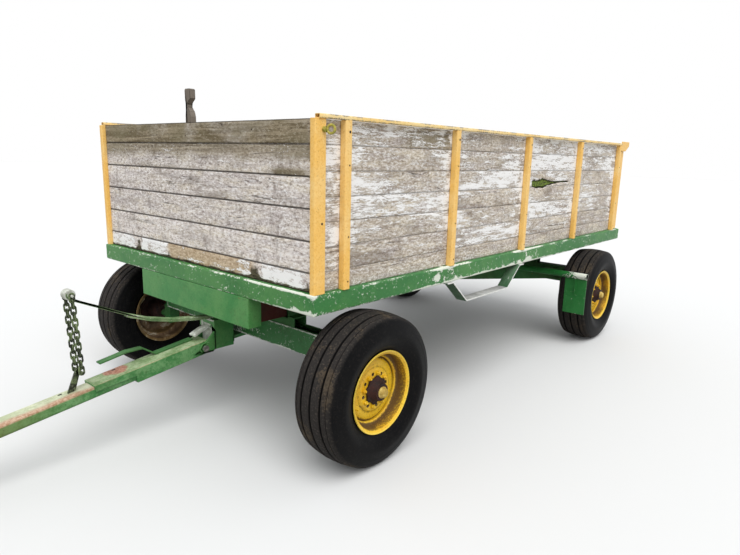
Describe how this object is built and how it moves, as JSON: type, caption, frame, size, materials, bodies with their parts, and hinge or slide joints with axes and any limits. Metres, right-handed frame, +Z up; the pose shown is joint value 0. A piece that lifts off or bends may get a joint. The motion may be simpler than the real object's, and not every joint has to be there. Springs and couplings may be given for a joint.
{
  "type": "barge wagon",
  "caption": "Four-wheel farm wagon with a planked box on a steel deck, steered by its pull tongue, with a top-hung tailgate and a tongue held up by a spring and chain.",
  "frame": {"origin": "on the ground, midway between hitch tip and rear ears, midway between the wheels", "axes": "+X forward along the tongue, +Y to the wagon's left, +Z up"},
  "size_m": [5.7408, 2.305, 1.8319],
  "materials": {
    "deck_green": "satin, chipped",
    "post_yellow": "satin, worn",
    "wheel_yellow": "satin, worn",
    "grey_wood": "weathered, flaked white paint",
    "floor_wood": "weathered",
    "sill_red": "old dark red paint",
    "gear_dark": "dark green, dirty",
    "bare_steel": "scuffed",
    "rusty_iron": "rusted",
    "chain_iron": "rusted",
    "tyre_rubber": "dusty"
  },
  "bodies": {
    "wagon": {"frame_sides": "deck_green", "frame_ends": "deck_green", "joists": "deck_green", "floor": "floor_wood", "long_sills": "sill_red", "front_sill": "deck_green", "front_bolster": "gear_dark", "rear_bolster": "gear_dark", "front_axle": "gear_dark", "rear_axle": "gear_dark", "reach_pole": "gear_dark", "rear_hounds": "gear_dark", "guard_bar": "gear_dark", "step": "bare_steel", "front_boards": "grey_wood", "left_boards": "grey_wood", "right_boards": "grey_wood", "corner_posts": "post_yellow", "left_stakes": "post_yellow", "right_stakes": "post_yellow", "left_rail": "post_yellow", "right_rail": "post_yellow", "centre_post": "grey_wood", "rope_eyes": "chain_iron", "gate_ears": "post_yellow"},
    "tailgate": {"gate_frame": "post_yellow", "gate_boards": "grey_wood"},
    "head": {"steering_head": "deck_green", "lift_spring": "gear_dark", "lift_chain": "chain_iron"},
    "tongue": {"tongue_sleeve": "deck_green", "drawbar": "deck_green", "chain_hook": "rusty_iron", "sleeve_lever": "deck_green", "hitch_clevis": "rusty_iron"},
    "knuckle_left": {"knuckle_left": "gear_dark"},
    "knuckle_right": {"knuckle_right": "gear_dark"},
    "tie_rod_left": {"tie_rod_left": "rusty_iron"},
    "tie_rod_right": {"tie_rod_right": "rusty_iron"},
    "wheel_front_left": {"tyre_front_left": "tyre_rubber", "rim_front_left": "wheel_yellow", "hub_front_left": "rusty_iron"},
    "wheel_front_right": {"tyre_front_right": "tyre_rubber", "rim_front_right": "wheel_yellow", "hub_front_right": "rusty_iron"},
    "wheel_rear_left": {"tyre_rear_left": "tyre_rubber", "rim_rear_left": "wheel_yellow", "hub_rear_left": "rusty_iron"},
    "wheel_rear_right": {"tyre_rear_right": "tyre_rubber", "rim_rear_right": "wheel_yellow", "hub_rear_right": "rusty_iron"}
  },
  "joints": [
    {"name": "tongue_steer", "type": "hinge", "parent": "wagon", "child": "head", "pos_m": [0.74948, 0, 0.462], "axis": [0, 0, 1], "range_deg": [-30, 30]},
    {"name": "tongue_pitch", "type": "hinge", "parent": "head", "child": "tongue", "pos_m": [1.04848, 0, 0.425], "axis": [0, -1, 0], "range_deg": [0, 25], "deforming": ["lift_chain"]},
    {"name": "tailgate_swing", "type": "hinge", "parent": "wagon", "child": "tailgate", "pos_m": [-2.74052, 0, 1.632], "axis": [0, 1, 0], "range_deg": [0, 80]},
    {"name": "knuckle_left_steer", "type": "hinge", "parent": "wagon", "child": "knuckle_left", "pos_m": [0.74948, 0.8, 0.527], "axis": [0, 0, 1], "range_deg": [-30, 30]},
    {"name": "tie_rod_left_swing", "type": "hinge", "parent": "head", "child": "tie_rod_left", "pos_m": [0.59948, 0.03, 0.426], "axis": [0, 0, 1], "range_deg": [-30, 30]},
    {"name": "knuckle_right_steer", "type": "hinge", "parent": "wagon", "child": "knuckle_right", "pos_m": [0.74948, -0.8, 0.527], "axis": [0, 0, 1], "range_deg": [-30, 30]},
    {"name": "tie_rod_right_swing", "type": "hinge", "parent": "head", "child": "tie_rod_right", "pos_m": [0.59948, -0.03, 0.426], "axis": [0, 0, 1], "range_deg": [-30, 30]},
    {"name": "wheel_front_left_spin", "type": "hinge", "parent": "knuckle_left", "child": "wheel_front_left", "pos_m": [0.74948, 1.013, 0.385], "axis": [0, 1, 0], "continuous": true},
    {"name": "wheel_front_right_spin", "type": "hinge", "parent": "knuckle_right", "child": "wheel_front_right", "pos_m": [0.74948, -1.013, 0.385], "axis": [0, 1, 0], "continuous": true},
    {"name": "wheel_rear_left_spin", "type": "hinge", "parent": "wagon", "child": "wheel_rear_left", "pos_m": [-2.17552, 1.013, 0.385], "axis": [0, 1, 0], "continuous": true},
    {"name": "wheel_rear_right_spin", "type": "hinge", "parent": "wagon", "child": "wheel_rear_right", "pos_m": [-2.17552, -1.013, 0.385], "axis": [0, 1, 0], "continuous": true}
  ],
  "couplings": [
    {"joint": "knuckle_left_steer", "follows": "tongue_steer", "ratio": 1},
    {"joint": "tie_rod_left_swing", "follows": "tongue_steer", "ratio": -1},
    {"joint": "knuckle_right_steer", "follows": "tongue_steer", "ratio": 1},
    {"joint": "tie_rod_right_swing", "follows": "tongue_steer", "ratio": -1}
  ]
}
